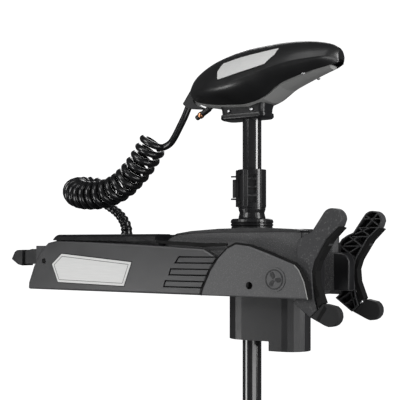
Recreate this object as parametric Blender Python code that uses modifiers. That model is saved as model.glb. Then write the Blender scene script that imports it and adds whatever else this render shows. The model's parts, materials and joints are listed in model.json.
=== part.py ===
"""Electric-steer bow-mount trolling motor, deployed.

Metres, +Z up, +X towards the bow, -Y the near side. The origin is on the deck face, the flat
underside of the mount. Below, shapes are written in millimetres from the shaft's axis at deck
level, and the root empty carries them to the frame's origin.
"""
import math

import bmesh
import bpy
from mathutils import Matrix, Vector

for leftover in list(bpy.data.objects):
    bpy.data.objects.remove(leftover, do_unlink=True)

MM = 0.001
GAP = 0.3  # between touching pieces

# Driving dimensions, millimetres
SHAFT_FROM_ORIGIN = 250.0  # the shaft stands this far towards the bow from the origin
SHAFT_R = 14.3  # 1-1/8 in shaft
SHAFT_BORE_R = 12.3
SHAFT_LENGTH = 1143.0  # 45 in shaft
SHAFT_TOP = 310.0
SHAFT_BOTTOM = SHAFT_TOP - SHAFT_LENGTH
PIVOT_Z = 42.0  # tilt axis above the deck
SIDE_OUTER = 85.0  # outer face of the side plates
WALL_OUTER = 74.0
WALL_INNER = 68.0
FLOOR_TOP = 6.0
CHANNEL_AFT = -378.0
CHANNEL_FORE = -119.3
CHEEK_INNER = 38.0
CHEEK_OUTER = 60.0
RAMP_INNER = 57.0
RAMP_OUTER = 75.0
RAMP_BACK = 117.0  # where the casting ends and the ramps begin
HOUSING_R = 34.0
MOTOR_BOSS_R = 30.0
MOTOR_BOSS_X = 66.0
TUBE_R = 20.5
TUBE_BORE_R = 16.8
TUBE_TOP = 129.7
COLLAR_R = 21.5
COLLAR_BOTTOM = 130.0
COLLAR_TOP = 187.0
COLLAR_TURN = math.radians(34.5)  # the clamp lever points aft and to the near side
LOWER_Z = -880.0  # axis of the propulsion motor
CAN_R = 46.0
CAN_WALL = 3.5
PROP_R = 127.0
GEAR_MODULE = 2.0
GEAR_TEETH = 27
IDLER_TEETH = 16
PINION_TEETH = 10
GEAR_BOTTOM, GEAR_TOP = -42.0, -32.0
CORD_R = 5.2
COIL_R = 24.5

parts = bpy.data.collections.new("trolling_motor")
cutters = bpy.data.collections.new("cutters")
bpy.context.scene.collection.children.link(parts)
bpy.context.scene.collection.children.link(cutters)


# ---------------------------------------------------------------- materials

def material(name, color, roughness, metallic=0.0):
    mat = bpy.data.materials.new(name)
    mat.use_nodes = True
    shader = mat.node_tree.nodes["Principled BSDF"]
    shader.inputs["Base Color"].default_value = (*color, 1.0)
    shader.inputs["Roughness"].default_value = roughness
    shader.inputs["Metallic"].default_value = metallic
    mat.diffuse_color = (*color, 1.0)
    return mat


CAST_GREY = material("cast_grey", (0.085, 0.085, 0.09), 0.55)
SATIN_BLACK = material("satin_black", (0.012, 0.012, 0.013), 0.4)
GLOSS_BLACK = material("gloss_black", (0.008, 0.008, 0.009), 0.2)
RAMP_GREY = material("ramp_grey", (0.05, 0.05, 0.052), 0.65)
RUBBER = material("rubber", (0.014, 0.014, 0.015), 0.7)
PANEL_GREY = material("panel_grey", (0.16, 0.16, 0.155), 0.45)
BRUSHED = material("brushed_plate", (0.75, 0.75, 0.74), 0.3, 1.0)
STEEL = material("steel", (0.55, 0.55, 0.55), 0.3, 1.0)
COPPER = material("copper", (0.72, 0.36, 0.2), 0.35, 1.0)
BOARD = material("board_green", (0.02, 0.12, 0.05), 0.5)
NYLON = material("nylon_white", (0.7, 0.7, 0.66), 0.5)


# ---------------------------------------------------------------- bodies, one empty on each joint's axis

def empty(name, at, parent=None, turn=0.0):
    """An empty at a place in millimetres from the shaft's foot."""
    holder = bpy.data.objects.new(name, None)
    holder.empty_display_size = 0.05
    parts.objects.link(holder)
    place[name] = Vector(at)
    holder.rotation_euler = (0.0, 0.0, turn)
    if parent is None:
        holder.location = Vector(at) * MM
    else:
        holder.parent = parent
        holder.location = (Vector(at) - place[parent.name]) * MM
    return holder


place = {}
frame_root = bpy.data.objects.new("frame_root", None)
frame_root.location = (SHAFT_FROM_ORIGIN * MM, 0.0, 0.0)
parts.objects.link(frame_root)
place["frame_root"] = Vector((0, 0, 0))

base = empty("base_body", (0, 0, 0), frame_root)
lever_body = empty("release_lever_body", (-349.5, 0, 46.8), base)
latch_body = empty("latch_body", (-330, -52, 13), base)
tilt = empty("tilt_body", (0, 0, PIVOT_Z), base)
IDLER_X = GEAR_MODULE * (GEAR_TEETH + IDLER_TEETH) / 2
PINION_X = IDLER_X + GEAR_MODULE * (IDLER_TEETH + PINION_TEETH) / 2
idler_body = empty("idler_body", (IDLER_X, 0, GEAR_BOTTOM), tilt)
pinion_body = empty("pinion_body", (PINION_X, 0, GEAR_BOTTOM), tilt)
steer = empty("steer_body", (0, 0, 0), tilt)
collar = empty("collar_body_axis", (0, 0, COLLAR_BOTTOM), steer)
LEVER_HINGE = Matrix.Rotation(COLLAR_TURN, 3, "Z") @ Vector((-23.0, -4.0, 0))
cam_body = empty("cam_lever_axis", (LEVER_HINGE.x, LEVER_HINGE.y, 158.5), collar)
shaft = empty("shaft_body", (0, 0, SHAFT_TOP), collar)
prop = empty("propeller_axis", (0, 0, LOWER_Z), shaft)


# ---------------------------------------------------------------- modelling helpers

def add(name, mesh, mat, body, smooth=35.0):
    """An object whose mesh is in millimetres from the shaft's foot, hung on its body's empty."""
    obj = bpy.data.objects.new(name, mesh)
    mesh.materials.clear()
    mesh.materials.append(mat)
    origin = place[body.name]
    mesh.transform(Matrix.Translation(-origin))
    mesh.transform(Matrix.Scale(MM, 4))
    parts.objects.link(obj)
    obj.parent = body
    if smooth:
        mesh.shade_smooth()
        mesh.set_sharp_from_angle(angle=math.radians(smooth))
    return obj


def finish_bmesh(bm, name):
    bmesh.ops.recalc_face_normals(bm, faces=bm.faces)
    mesh = bpy.data.meshes.new(name)
    bm.to_mesh(mesh)
    bm.free()
    return mesh


def curve_mesh(curve, name):
    """A curve's evaluated, welded mesh. The curve itself is removed."""
    holder = bpy.data.objects.new(name + "_curve", curve)
    bpy.context.scene.collection.objects.link(holder)
    bpy.context.view_layer.update()
    depsgraph = bpy.context.evaluated_depsgraph_get()
    mesh = bpy.data.meshes.new_from_object(holder.evaluated_get(depsgraph))
    bpy.data.objects.remove(holder, do_unlink=True)
    bm = bmesh.new()
    bm.from_mesh(mesh)
    bmesh.ops.remove_doubles(bm, verts=bm.verts, dist=0.001)
    bpy.data.meshes.remove(mesh)
    return finish_bmesh(bm, name)


PLANES = {
    "XZ": Matrix(((1, 0, 0, 0), (0, 0, -1, 0), (0, 1, 0, 0), (0, 0, 0, 1))),
    "YZ": Matrix(((0, 0, 1, 0), (1, 0, 0, 0), (0, 1, 0, 0), (0, 0, 0, 1))),
    "XY": Matrix.Identity(4),
}
NORMALS = {"XZ": Vector((0, 1, 0)), "YZ": Vector((1, 0, 0)), "XY": Vector((0, 0, 1))}


def outline_mesh(name, points, low, high, plane="XZ"):
    """A flat outline in a plane, thick from low to high across it."""
    curve = bpy.data.curves.new(name, "CURVE")
    curve.dimensions = "2D"
    curve.fill_mode = "BOTH"
    curve.extrude = (high - low) / 2
    spline = curve.splines.new("POLY")
    spline.points.add(len(points) - 1)
    for point, (u, v) in zip(spline.points, points):
        point.co = (u, v, 0, 1)
    spline.use_cyclic_u = True
    mesh = curve_mesh(curve, name)
    mesh.transform(PLANES[plane])
    mesh.transform(Matrix.Translation(NORMALS[plane] * (low + high) / 2))
    return mesh


def plate(name, points, low, high, mat, body, plane="XZ", bevel=0.0, segments=2):
    obj = add(name, outline_mesh(name, points, low, high, plane), mat, body)
    if bevel:
        edge_bevel(obj, bevel, segments)
    return obj


def edge_bevel(obj, width, segments=2, angle=40.0):
    mod = obj.modifiers.new("rounded_edges", "BEVEL")
    mod.width = width * MM
    mod.segments = segments
    mod.limit_method = "ANGLE"
    mod.angle_limit = math.radians(angle)
    mod.use_clamp_overlap = True


def box_mesh(name, low, high):
    bm = bmesh.new()
    bmesh.ops.create_cube(bm, size=1.0)
    low, high = Vector(low), Vector(high)
    for vert in bm.verts:
        vert.co = (low + high) / 2 + Vector(a * b for a, b in zip(vert.co, high - low))
    return finish_bmesh(bm, name)


def cylinder_mesh(name, start, end, radius, sides=24, end_radius=None):
    start, end = Vector(start), Vector(end)
    axis = end - start
    bm = bmesh.new()
    bmesh.ops.create_cone(
        bm,
        cap_ends=True,
        segments=sides,
        radius1=radius,
        radius2=radius if end_radius is None else end_radius,
        depth=axis.length,
    )
    turn = axis.to_track_quat("Z", "Y").to_matrix().to_4x4()
    mesh = finish_bmesh(bm, name)
    mesh.transform(Matrix.Translation((start + end) / 2) @ turn)
    return mesh


def cylinder(name, start, end, radius, mat, body, sides=24, bevel=0.0):
    obj = add(name, cylinder_mesh(name, start, end, radius, sides), mat, body)
    if bevel:
        edge_bevel(obj, bevel, 1)
    return obj


def turned(name, profile, mat, body, closed=True, sides=32, along="Z", at=(0, 0, 0)):
    """A turned piece. The profile is (radius, height) pairs, down the outside and up the bore."""
    mesh = bpy.data.meshes.new(name)
    verts = [(r * MM, 0.0, h * MM) for r, h in profile]
    edges = [(i, i + 1) for i in range(len(verts) - 1)]
    if closed:
        edges.append((len(verts) - 1, 0))
    mesh.from_pydata(verts, edges, [])
    obj = bpy.data.objects.new(name, mesh)
    mesh.materials.append(mat)
    parts.objects.link(obj)
    obj.parent = body
    obj.location = (Vector(at) - place[body.name]) * MM
    if along == "X":
        obj.rotation_euler = (0.0, math.pi / 2, 0.0)
    if along == "Y":
        obj.rotation_euler = (-math.pi / 2, 0.0, 0.0)
    mod = obj.modifiers.new("turned", "SCREW")
    mod.steps = mod.render_steps = sides
    mod.use_merge_vertices = True
    mod.merge_threshold = 0.00001
    mod.use_smooth_shade = True
    return obj


def ring(name, outer, inner, bottom, top, mat, body, **how):
    profile = [(outer, top), (outer, bottom), (inner, bottom), (inner, top)]
    return turned(name, profile, mat, body, **how)


def boolean(obj, mesh, operation="DIFFERENCE"):
    """Cuts or joins with a mesh given in millimetres from the shaft's foot."""
    tool = bpy.data.objects.new(obj.name + "_tool", mesh)
    origin = place[obj.parent.name]
    mesh.transform(Matrix.Translation(-origin))
    mesh.transform(Matrix.Scale(MM, 4))
    cutters.objects.link(tool)
    tool.parent = obj.parent
    tool.hide_render = True
    tool.display_type = "WIRE"
    mod = obj.modifiers.new(operation.lower(), "BOOLEAN")
    mod.operation = operation
    mod.object = tool
    return obj


def arc(cx, cz, radius, start, end, steps):
    """Points of an arc, in degrees."""
    turns = [math.radians(start + (end - start) * i / steps) for i in range(steps + 1)]
    return [(cx + radius * math.cos(a), cz + radius * math.sin(a)) for a in turns]


def mirrored(points):
    return [(-u, v) for u, v in reversed(points)]


def both_sides(make):
    """Calls make(name suffix, low, high) with a function that turns |Y| limits into Y limits."""
    make("near", lambda low, high: (-high, -low))
    make("far", lambda low, high: (low, high))


def smooth_through(points, steps):
    """A smooth curve through points: Catmull-Rom, steps points a span."""
    points = [Vector(p) for p in points]
    padded = [2 * points[0] - points[1], *points, 2 * points[-1] - points[-2]]
    out = []
    for a, b, c, d in zip(padded, padded[1:], padded[2:], padded[3:]):
        for i in range(steps):
            t = i / steps
            out.append(
                0.5 * (2 * b + (c - a) * t + (2 * a - 5 * b + 4 * c - d) * t**2
                       + (3 * b - a - 3 * c + d) * t**3)
            )
    out.append(points[-1])
    return out


def tube(name, points, radius, mat, body, resolution=2):
    """A round cord or rod along points."""
    curve = bpy.data.curves.new(name, "CURVE")
    curve.dimensions = "3D"
    curve.bevel_depth = radius
    curve.bevel_resolution = resolution
    curve.use_fill_caps = True
    spline = curve.splines.new("POLY")
    spline.points.add(len(points) - 1)
    for point, where in zip(spline.points, points):
        point.co = (*where, 1)
    return add(name, curve_mesh(curve, name), mat, body)


# ---------------------------------------------------------------- mount base

def side_outline():
    top = [(-324, 80), (-260, 78.5), (-148, 74), (-31, 68)]
    seam = [(-6.8, 55), (-20.3, 37), (-32.8, 12), (-36.8, 0)]
    aft = [(-386, 0), (-385, 11), (-373, 39), (-356, 65), (-341, 77)]
    return aft + top + seam


def bow_cover_outline():
    seam = [(-36, 0), (-32, 12), (-19.5, 37), (-6, 55), (8, 68), (24, 75)]
    crest = [(48, 72), (81, 61), (119, 47), (126, 40), (134, 24), (140, 0)]
    return list(reversed(seam + crest))


NAME_PLATE = [(-310, 59), (-331, 42), (-318, 13), (-180, 10), (-165, 47)]
LEVER_PIVOT = (-349.5, 46.8)


def scaled(points, factor):
    cx = sum(u for u, _ in points) / len(points)
    cz = sum(v for _, v in points) / len(points)
    return [(cx + (u - cx) * factor, cz + (v - cz) * factor) for u, v in points]


def make_base():
    section = [
        (-WALL_OUTER, 0), (WALL_OUTER, 0), (WALL_OUTER, 72), (WALL_INNER, 72),
        (WALL_INNER, FLOOR_TOP), (-WALL_INNER, FLOOR_TOP), (-WALL_INNER, 72), (-WALL_OUTER, 72),
    ]
    channel = plate("base_channel", section, CHANNEL_AFT, CHANNEL_FORE, CAST_GREY, base, "YZ")
    for x in (-345.0, -160.0):
        for y in (-46.0, 46.0):
            boolean(channel, cylinder_mesh("hole", (x, y, -5), (x, y, 15), 4.2, 12))
    lever_x, lever_z = LEVER_PIVOT
    pin_hole = ((lever_x, -95, lever_z), (lever_x, -60, lever_z))
    boolean(channel, cylinder_mesh("hole", *pin_hole, 4.4, 16))

    def side(suffix, across):
        body_plate = plate(
            "side_plate_" + suffix, side_outline(), *across(WALL_OUTER + GAP, SIDE_OUTER),
            CAST_GREY, base, bevel=3.0,
        )
        for z_low, z_high, x_low, x_high in ((46, 57, -84, -76), (28, 39, -95, -91), (10, 21, -105, -101)):
            vent = [(x_low, z_low), (10, z_low), (10, z_high), (x_high, z_high)]
            boolean(body_plate, outline_mesh("vent", vent, *across(SIDE_OUTER - 2.5, SIDE_OUTER + 3)))
        recess = scaled(NAME_PLATE, 1.012)
        boolean(body_plate, outline_mesh("recess", recess, *across(SIDE_OUTER - 1.4, SIDE_OUTER + 3)))
        hole = across(60, 95)
        boolean(
            body_plate,
            cylinder_mesh("hole", (lever_x, hole[0], lever_z), (lever_x, hole[1], lever_z), 4.4, 16),
        )
        plate("name_plate_" + suffix, NAME_PLATE, *across(SIDE_OUTER - 1.1, SIDE_OUTER + 0.4), BRUSHED, base)

        cover = plate(
            "bow_cover_" + suffix, bow_cover_outline(), *across(WALL_OUTER + GAP, SIDE_OUTER),
            CAST_GREY, base, bevel=2.0,
        )
        back = across(60, RAMP_OUTER + 0.4)
        boolean(cover, box_mesh("ramp_room", (100, back[0], -10), (150, back[1], 80)))
        bolt = across(60, 95)
        boolean(cover, cylinder_mesh("hole", (46.7, bolt[0], 16.5), (46.7, bolt[1], 16.5), 5.5, 16))
        badge = across(SIDE_OUTER - 1, SIDE_OUTER + 1.2)
        boolean(cover, cylinder_mesh("badge", (88, badge[0], 26), (88, badge[1], 26), 17.0, 28), "UNION")
        rail_section = [(40.3, 72.3), (WALL_OUTER, 72.3), (WALL_OUTER, 81), (83, 81), (83, 86.5), (80, 89.5),
                        (76, 90.3), (46, 90.3), (41.8, 89), (40.3, 86)]
        if suffix == "near":
            rail_section = mirrored(rail_section)
        rail = plate("top_rail_" + suffix, rail_section, -332, -121, GLOSS_BLACK, base, "YZ")
        slope = [(-340, 70), (-333, 80), (-322, 91.5), (-340, 93)]
        boolean(rail, outline_mesh("slope", slope, -90, 90))

    both_sides(side)
    cradle = [(-30, 6.3), (30, 6.3), (30, 33), (24, 36)] + arc(0, PIVOT_Z, 15.2, -32, -148, 8)
    cradle += [(-24, 36), (-30, 33)]
    plate("shaft_cradle", cradle, -373, -352, RUBBER, base, "YZ")
    cylinder(
        "lever_pin", (lever_x, -84.6, lever_z), (lever_x, -37, lever_z), 4.0, STEEL, base, 16, bevel=0.5,
    )


def make_casting():
    cheek = [(-119, 0), (100, 0), (104, 7), (142, 7), (142, 50), (138, 58), (130, 62), (RAMP_BACK - 1, 62),
             (RAMP_BACK - 1, 91), (104, 92), (-20, 92), (-70, 91), (-96, 88.5), (-108, 84), (-119, 77)]
    casting = plate("bow_casting", cheek, -CHEEK_OUTER, CHEEK_OUTER, CAST_GREY, base)
    boolean(casting, box_mesh("slot", (-130, -CHEEK_INNER, FLOOR_TOP), (160, CHEEK_INNER, 110)))
    boolean(casting, box_mesh("well", (-46, -CHEEK_INNER, -10), (160, CHEEK_INNER, 40)))
    for sign in (-1, 1):
        ys = sorted((sign * (RAMP_INNER - 0.5), sign * 90))
        boolean(casting, box_mesh("ramp_seat", (RAMP_BACK - 0.5, ys[0], -5), (160, ys[1], 100)))
        sill = [(-119, 0), (RAMP_BACK - 1, 0), (RAMP_BACK - 1, 44), (94, 53), (70, 66), (-119, 66)]
        ys = sorted((sign * (CHEEK_OUTER - 2), sign * WALL_OUTER))
        boolean(casting, outline_mesh("sill", sill, *ys), "UNION")
        ys = sorted((sign * 44, sign * (WALL_OUTER - 4)))
        for x0, x1 in ((-108, -22), (22, 94)):
            boolean(casting, box_mesh("pocket", (x0, ys[0], -5), (x1, ys[1], 40)))
    pin = ((0, -CHEEK_OUTER, PIVOT_Z), (0, CHEEK_OUTER, PIVOT_Z))
    boolean(casting, cylinder_mesh("pin_hole", *pin, 6.3, 16))
    boolean(casting, cylinder_mesh("rod_hole", (-125, -52, 13), (-100, -52, 13), 5.0, 12))
    cap = [(-105, 86.8), (-96, 88.9), (-70, 91.3), (-20, 92.3), (104, 92.3), (116, 91.3), (116, 94.5),
           (104, 96), (70, 97.8), (20, 98.2), (-20, 97.6), (-70, 94.6), (-96, 91)]

    def side(suffix, across):
        plate("top_cap_" + suffix, cap, *across(35.5, 61.5), SATIN_BLACK, base, bevel=1.2)
        pin_ends = across(24, CHEEK_OUTER - GAP)
        cylinder(
            "pivot_pin_" + suffix, (0, pin_ends[0], PIVOT_Z), (0, pin_ends[1], PIVOT_Z), 6.0,
            STEEL, base, 16,
        )
        inside, outside = (RAMP_INNER, RAMP_OUTER)
        ramp = plate("ramp_" + suffix, ramp_outline(), *across(inside, outside), RAMP_GREY, base)
        for z_line in RAMP_CELLS:
            boolean(ramp, outline_mesh("cell", z_line, *across(inside - 3, outside - 4)))
        plate("ramp_pad_" + suffix, ramp_pad_outline(), *across(inside + 1, outside - 1), RUBBER, base)
        tip = ramp_tip_outline()
        plate("ramp_tip_" + suffix, tip, *across(inside + 3, outside), RUBBER, base, bevel=4.0, segments=3)

    both_sides(side)


UPPER_LOBE = (170.0, 108.5)
LOWER_LOBE = (166.5, -22.0)
LOBE_R = 15.0


def ramp_outline():
    """The V-shaped ramp, without the pad on its working edge and the tip of its lower arm."""
    lobe = arc(*UPPER_LOBE, LOBE_R, 0, 150, 7)
    notch = [(148, -15.5), (141.5, 20), (140.5, 38), (144, 52), (162.5, 82), (182, 100)]
    back = [(140, 92), (130, 88), (121, 82), (RAMP_BACK, 76), (RAMP_BACK, 0), (111, -5.5), (137.5, -25)]
    return lobe + back + notch


def ramp_pad_outline():
    inner = [(149, -11.5), (141.8, 20), (140.8, 38), (144.3, 52), (162.7, 81.8), (181, 98.8)]
    outer = [(185, 97), (168, 80), (150.2, 52), (145.5, 38), (147, 20), (156.5, -5)]
    return inner + outer


def ramp_tip_outline():
    return [(137.8, -25.2), (148.3, -15.8), (158.5, -6.0)] + arc(*LOWER_LOBE, LOBE_R, 60, -118, 8)


RAMP_CELLS = [
    [(159, 104), (183, 104), (181, 112), (173, 119), (163, 117), (157, 110)],
    [(146, 92), (163, 92), (178, 101), (178, 102), (158, 102), (149, 96)],
    [(122, 78), (131, 84), (141, 90), (161, 90), (156, 79), (122, 72)],
    [(122, 54), (141, 54), (154, 76), (122, 69)],
    [(122, 30), (137, 30), (137.5, 50.5), (122, 50.5)],
    [(122, 2), (140, 2), (138.2, 27), (122, 27)],
    [(119, -5), (136, -18.5), (143.5, -14), (141, -1), (119, -1)],
]


# ---------------------------------------------------------------- release lever and latch

def make_latch():
    lever_x, lever_z = LEVER_PIVOT
    arm = [(-419, 62), (-400, 66.5), (-352, 57)] + arc(lever_x, lever_z, 10.0, 80, -20, 5)
    arm += [(-343, 24), (-344.5, 20.5), (-351, 20.5), (-354, 24), (-357.5, 38), (-392, 42), (-419, 40)]
    lever = plate("release_lever", arm, -62, -44, SATIN_BLACK, lever_body)
    boolean(lever, cylinder_mesh("bore", (lever_x, -70, lever_z), (lever_x, -30, lever_z), 4.3, 16))
    grip_end = [(-443, 49), (-436, 61), (-430, 64.5), (-418, 65), (-418, 38), (-428, 40)]
    boolean(lever, outline_mesh("grip", grip_end, -67, -41), "UNION")
    rod = cylinder("latch_rod", (-341, -52, 13), (-60, -52, 13), 4.0, STEEL, latch_body, 16)
    tongue = box_mesh("tongue", (-341.2, -56, 12), (-337.7, -48, 31))
    boolean(rod, tongue, "UNION")


# ---------------------------------------------------------------- tilting steering housing

def slot_outline(left_r, right_r, right_x, steps=10):
    """The outline round two circles on the X axis."""
    lean = math.degrees(math.asin((left_r - right_r) / right_x))
    left = arc(0, 0, left_r, 90 - lean, 270 + lean, steps)
    right = arc(right_x, 0, right_r, -90 + lean, 90 - lean, steps)
    return left + right


def make_tilt():
    outer = slot_outline(HOUSING_R, MOTOR_BOSS_R, MOTOR_BOSS_X)
    inner = slot_outline(HOUSING_R - 3.2, MOTOR_BOSS_R - 3.2, MOTOR_BOSS_X)
    housing = plate("steering_housing", outer, -81, 56, SATIN_BLACK, tilt, "XY", bevel=0.0)
    boolean(housing, outline_mesh("cavity", inner, -50, 70, "XY"))
    boolean(housing, box_mesh("step", (-50, -50, -95), (47, 50, -67)))
    boolean(housing, cylinder_mesh("tube_bore", (0, 0, -100), (0, 0, 0), TUBE_R + 6.1, 32))
    for ys in ((-33, -23.5), (23.5, 33)):
        boss = cylinder_mesh("trunnion_boss", (0, ys[0], PIVOT_Z), (0, ys[1], PIVOT_Z), 11.0, 20)
        boolean(housing, boss, "UNION")
    pins = ((0, -50, PIVOT_Z), (0, 50, PIVOT_Z))
    boolean(housing, cylinder_mesh("trunnion_bore", *pins, 6.3, 16))
    boolean(housing, cylinder_mesh("idler_pin", (IDLER_X, 0, -52), (IDLER_X, 0, -25), 3.0, 14), "UNION")

    lid = plate("housing_lid", outer, 56.3, 60, SATIN_BLACK, tilt, "XY")
    boolean(lid, cylinder_mesh("tower", (0, 0, 57), (0, 0, 100.5), 31.5, 32), "UNION")
    cowl = [(20, 58), (94, 58), (94, 78), (88, 88), (70, 93), (20, 95)]
    boolean(lid, outline_mesh("motor_cowl", cowl, -27, 27), "UNION")
    boolean(lid, cylinder_mesh("tube_bore", (0, 0, 40), (0, 0, 120), TUBE_R + 0.4, 32))
    boolean(lid, cylinder_mesh("bearing_seat", (0, 0, 84), (0, 0, 120), TUBE_R + 6.1, 32))

    ring("lower_bearing", TUBE_R + 5.8, TUBE_R + GAP, -66.5, -52, STEEL, tilt)
    ring("upper_bearing", TUBE_R + 5.8, TUBE_R + GAP, 84.3, 100.2, STEEL, tilt)
    bezel = [(29.5, 113), (31.5, 111.5), (32.5, 108.5), (32.5, 107.3), (31.2, 106.6), (31.2, 105.6),
             (32.3, 104.8), (32.3, 103), (31, 101.8), (31, 100.8), (21.2, 100.8), (21.2, 113)]
    turned("bezel_ring", bezel, SATIN_BLACK, tilt, sides=40)

    cylinder("steering_motor", (PINION_X, 0, -22), (PINION_X, 0, 48), 21.0, STEEL, tilt, 28, bevel=1.5)


def involute_gear(teeth, pocket_turn=0.0, addendum=0.7, backlash=0.34):
    """Outline of a stub-toothed 20 degree involute gear, with a tooth centred on the turn given."""
    pitch_r = GEAR_MODULE * teeth / 2
    base_r = pitch_r * math.cos(math.radians(20))
    tip_r = pitch_r + addendum * GEAR_MODULE
    root_r = pitch_r - (addendum + 0.25) * GEAR_MODULE
    half_tooth = math.pi / (2 * teeth) - backlash / (2 * pitch_r)

    def inv(radius):
        if radius <= base_r:
            return 0.0
        angle = math.acos(base_r / radius)
        return math.tan(angle) - angle

    at_base = half_tooth + inv(pitch_r)
    radii = [max(root_r, base_r), pitch_r - 0.1, (pitch_r + tip_r) / 2, tip_r]
    points = []
    for tooth in range(teeth):
        middle = pocket_turn + 2 * math.pi * tooth / teeth
        flank = [(root_r, at_base)] if root_r < base_r else []
        flank += [(r, at_base - inv(r)) for r in radii]
        for r, half in flank:
            points.append((r * math.cos(middle - half), r * math.sin(middle - half)))
        for r, half in reversed(flank):
            points.append((r * math.cos(middle + half), r * math.sin(middle + half)))
    return points


def make_gears():
    def gear(name, teeth, x, first_tooth, mat, body):
        points = [(x + u, v) for u, v in involute_gear(teeth, first_tooth)]
        return plate(name, points, GEAR_BOTTOM, GEAR_TOP, mat, body, "XY")

    # A tooth of the steering gear lies on the line of centres, and meets a gap of the idler.
    steering = gear("steering_gear", GEAR_TEETH, 0, 0.0, NYLON, steer)
    boolean(steering, cylinder_mesh("bore", (0, 0, -60), (0, 0, 0), TUBE_R + GAP, 32))
    idler = gear("idler_gear", IDLER_TEETH, IDLER_X, math.pi / IDLER_TEETH, NYLON, idler_body)
    boolean(idler, cylinder_mesh("bore", (IDLER_X, 0, -60), (IDLER_X, 0, 0), 3.3, 14))
    # The idler's gap also faces the pinion, so a tooth of the pinion points aft.
    pinion = gear("motor_pinion", PINION_TEETH, PINION_X, math.pi, STEEL, pinion_body)
    stub = cylinder_mesh("stub", (PINION_X, 0, -36), (PINION_X, 0, -22.3), 4.0, 14)
    boolean(pinion, stub, "UNION")


# ---------------------------------------------------------------- output tube and depth collar

def make_steer():
    profile = [
        (TUBE_R, TUBE_TOP), (TUBE_R, 127), (18.8, 122), (TUBE_R, 115), (TUBE_R, -67),
        (TUBE_BORE_R, -67), (TUBE_BORE_R, TUBE_TOP),
    ]
    turned("output_tube", profile, SATIN_BLACK, steer)


def make_collar():
    turned_frame = bpy.data.objects.new("collar_frame", None)
    parts.objects.link(turned_frame)
    turned_frame.parent = collar
    turned_frame.rotation_euler = (0, 0, COLLAR_TURN)
    place["collar_frame"] = place[collar.name]

    body = add(
        "collar_body",
        cylinder_mesh("collar_body", (0, 0, COLLAR_BOTTOM), (0, 0, COLLAR_TOP), COLLAR_R, 36),
        SATIN_BLACK, turned_frame,
    )
    boolean(body, box_mesh("spine", (-24.5, -8, COLLAR_BOTTOM + 1), (-14, 5, COLLAR_TOP - 1)), "UNION")
    boolean(body, cylinder_mesh("bore", (0, 0, 120), (0, 0, 200), SHAFT_R + 0.5, 36))
    for low, high in ((173.5, 180), (162, 171), (150.5, 159.5), (137, 148)):
        boolean(body, box_mesh("window", (-7, -30, low), (5, -17.5, high)))
    boolean(body, box_mesh("hinge_room", (-26, -9, 144.7), (-19.4, 1.8, 172.3)))
    for z in (142.5, 176.5):
        boolean(body, cylinder_mesh("stud", (-32, -3, z), (-16, -3, z), 1.3, 10), "UNION")
    pin = cylinder_mesh("cam_pin", (-23, -4, COLLAR_BOTTOM + 8), (-23, -4, COLLAR_TOP - 8), 1.2, 10)
    boolean(body, cylinder_mesh("pin_hole", (-23, -4, 120), (-23, -4, 200), 1.5, 10))
    add("cam_pin", pin, STEEL, turned_frame)

    cam_frame = bpy.data.objects.new("cam_frame", None)
    parts.objects.link(cam_frame)
    cam_frame.parent = cam_body
    cam_frame.rotation_euler = (0, 0, COLLAR_TURN)
    place["cam_frame"] = Vector((-23.0, -4.0, 158.5))
    section = [(-25.4, -6), (-20.6, -6), (-20.6, -1.6), (-25.2, 1.0), (-26.4, 12), (-29, 12), (-29, -3)]
    cam = add("cam_lever", outline_mesh("cam_lever", section, 145, 172, "XY"), SATIN_BLACK, cam_frame)
    boolean(cam, cylinder_mesh("bore", (-23, -4, 120), (-23, -4, 200), 1.5, 10))


# ---------------------------------------------------------------- head

# x, crest height, shoulder height, half width, rim height, half width at the rim
HEAD_STATIONS = [
    (-103, 320, 311, 12, 304, 8),
    (-98, 332.5, 311, 24, 299, 14),
    (-80, 345.5, 310, 38, 292, 22),
    (-55, 356.5, 309, 49, 287, 27),
    (-25, 364.5, 309, 55.5, 284, 29),
    (5, 369.5, 314, 57.5, 283, 29),
    (35, 371.5, 321, 55, 290, 28.5),
    (62, 372, 329, 50, 306.5, 29),
    (90, 370.5, 336, 42, 316.5, 26),
    (115, 367, 339, 33, 323.5, 20.5),
    (136, 361, 341, 24, 328.5, 15),
    (147, 354, 342, 13, 332, 10),
]


def crest_points(station, inset=0.0, count=14):
    """One section of the cover, rim to rim over the crest, drawn in by inset."""
    x, crest, shoulder, half, rim, rim_half = station
    half, crest, rim_half = half - inset, crest - inset, rim_half - inset
    points = []
    for i in range(3):
        t = i / 3
        points.append((rim_half + (half - rim_half) * math.sin(t * math.pi / 2), rim + (shoulder - rim) * t))
    for i in range(count // 2 + 1):
        a = math.pi / 2 * i / (count // 2)
        points.append((half * math.cos(a) ** 1.15, shoulder + (crest - shoulder) * math.sin(a) ** 1.05))
    left = [(x, -y, z) for y, z in points]
    right = [(x, y, z) for y, z in reversed(points[:-1])]
    return left + right


def station_at(x):
    """The head's section values at any x, between its stations."""
    for a, b in zip(HEAD_STATIONS, HEAD_STATIONS[1:]):
        if a[0] <= x <= b[0]:
            t = (x - a[0]) / (b[0] - a[0])
            return tuple(u + (v - u) * t for u, v in zip(a, b))


def cover_point(station, angle, lift):
    """A point of the cover's near slope, at an angle from the shoulder, lifted off the surface."""
    x, crest, shoulder, half, _, _ = station
    y = -half * math.cos(angle) ** 1.15
    z = shoulder + (crest - shoulder) * math.sin(angle) ** 1.05
    normal = Vector((0, -(crest - shoulder) * math.cos(angle), half * math.sin(angle))).normalized()
    return Vector((x, y, z)) + normal * lift


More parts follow.
